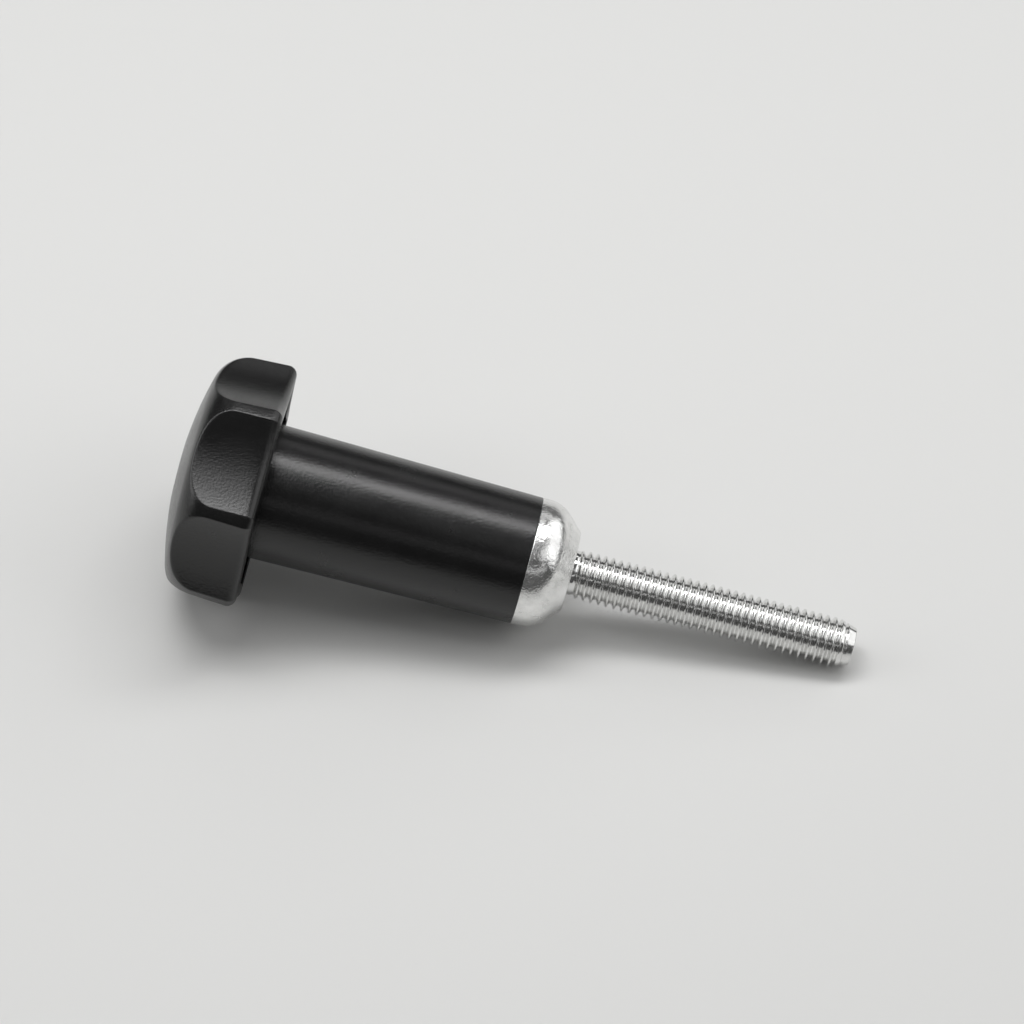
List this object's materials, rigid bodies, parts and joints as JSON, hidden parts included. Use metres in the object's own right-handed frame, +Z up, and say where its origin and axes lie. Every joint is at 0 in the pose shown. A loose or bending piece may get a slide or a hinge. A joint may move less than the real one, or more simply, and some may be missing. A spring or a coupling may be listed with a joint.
{
  "type": "thumb screw",
  "caption": "Star-knob thumb screw: a fluted plastic head on a long tapered hub, a rounded steel collar in the hub's end and a long threaded stud, for clamping by hand.",
  "frame": {"origin": "on the surface that the screw lies on, below the centre of its bounding box", "axes": "+X along the screw from the head towards the tip, +Z up; the axis dips towards the tip by the resting tilt"},
  "size_m": [0.1096, 0.0394, 0.0387],
  "materials": {
    "black_plastic": "fine matt moulded texture",
    "collar_zinc": "bright zinc plate over a faintly pitted surface",
    "stud_zinc": "bright zinc plate on a rolled thread"
  },
  "bodies": {
    "root": {"knob": "black_plastic", "collar": "collar_zinc", "stud": "stud_zinc"}
  },
  "joints": []
}
